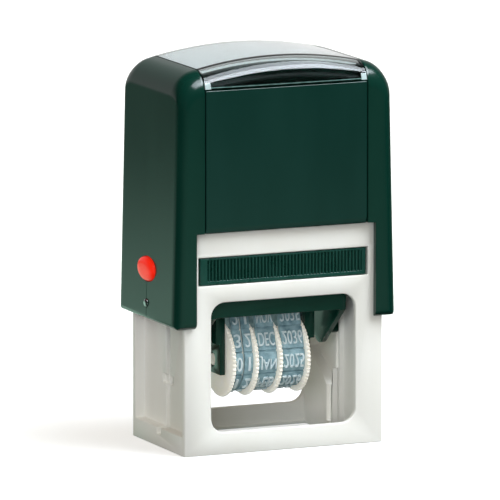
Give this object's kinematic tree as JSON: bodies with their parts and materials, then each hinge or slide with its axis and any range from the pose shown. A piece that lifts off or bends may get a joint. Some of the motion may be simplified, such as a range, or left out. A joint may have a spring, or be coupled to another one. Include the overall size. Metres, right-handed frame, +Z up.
{
  "type": "self-inking date stamp",
  "caption": "Self-inking date stamp: a sprung dark cover on a white frame flips a date die and its banded wheels from a drawer ink pad down to the paper.",
  "frame": {"origin": "on the table under the middle of the frame", "axes": "+Z up, +X to the right along the stamp's width, -Y towards the front window and the ink pad's ribbed front"},
  "size_m": [0.067, 0.04, 0.107],
  "materials": {
    "frame": "satin white",
    "cover": "satin dark green black",
    "panel": "glossy dark green black",
    "clear": "clear",
    "card": "plain white",
    "button": "glossy red",
    "steel": "bright",
    "tray": "satin dark green black",
    "felt": "inked felt",
    "rubber": "matt",
    "cushion": "foam",
    "wheel": "satin ivory",
    "band": "matt blue grey"
  },
  "bodies": {
    "frame": {"base_frame": "frame", "main_spring": "steel"},
    "pad": {"pad_tray": "tray", "ink_felt": "felt"},
    "cover": {"cover_shell": "cover", "front_panel": "panel", "rear_panel": "panel", "index_card": "card", "axle_pin": "steel"},
    "index": {"index_window": "clear"},
    "lock_left": {"lock_button_left": "button"},
    "lock_right": {"lock_button_right": "button"},
    "date_unit": {"die_holder": "cover", "plate_cushion": "cushion", "text_plate": "rubber", "band_bracket": "cover", "wheel_shaft": "wheel", "day_tens_band": "band", "day_units_band": "band", "month_band": "band", "year_band": "band"},
    "wheel_day_tens": {"day_tens_wheel": "wheel"},
    "wheel_day_units": {"day_units_wheel": "wheel"},
    "wheel_month": {"month_wheel": "wheel"},
    "wheel_year": {"year_wheel": "wheel"}
  },
  "joints": [
    {"name": "cover_press", "type": "slide", "parent": "frame", "child": "cover", "axis": [0, 0, 1], "range_m": [-0.0346, 0], "stiffness_N_per_m": 300, "springref_m": 0.015, "deforming": ["main_spring"]},
    {"name": "carriage_flip", "type": "hinge", "parent": "cover", "child": "date_unit", "pos_m": [0, 0, 0.0396], "axis": [1, 0, 0], "range_deg": [0, 180]},
    {"name": "pad_drawer_slide", "type": "slide", "parent": "frame", "child": "pad", "axis": [0, -1, 0], "range_m": [0, 0.026]},
    {"name": "lock_left_press", "type": "slide", "parent": "cover", "child": "lock_left", "axis": [1, 0, 0], "range_m": [0, 0.001], "stiffness_N_per_m": 600, "springref_m": -0.001},
    {"name": "lock_right_press", "type": "slide", "parent": "cover", "child": "lock_right", "axis": [-1, 0, 0], "range_m": [0, 0.001], "stiffness_N_per_m": 600, "springref_m": -0.001},
    {"name": "index_window_lift", "type": "slide", "parent": "cover", "child": "index", "axis": [0, 0, 1], "range_m": [0, 0.008]},
    {"name": "day_tens_spin", "type": "hinge", "parent": "date_unit", "child": "wheel_day_tens", "pos_m": [0, 0, 0.0228], "axis": [1, 0, 0], "continuous": true},
    {"name": "day_units_spin", "type": "hinge", "parent": "date_unit", "child": "wheel_day_units", "pos_m": [0, 0, 0.0228], "axis": [1, 0, 0], "continuous": true},
    {"name": "month_spin", "type": "hinge", "parent": "date_unit", "child": "wheel_month", "pos_m": [0, 0, 0.0228], "axis": [1, 0, 0], "continuous": true},
    {"name": "year_spin", "type": "hinge", "parent": "date_unit", "child": "wheel_year", "pos_m": [0, 0, 0.0228], "axis": [1, 0, 0], "continuous": true}
  ],
  "couplings": [
    {"joint": "carriage_flip", "follows": "cover_press", "rad_per_m": -90.797}
  ]
}
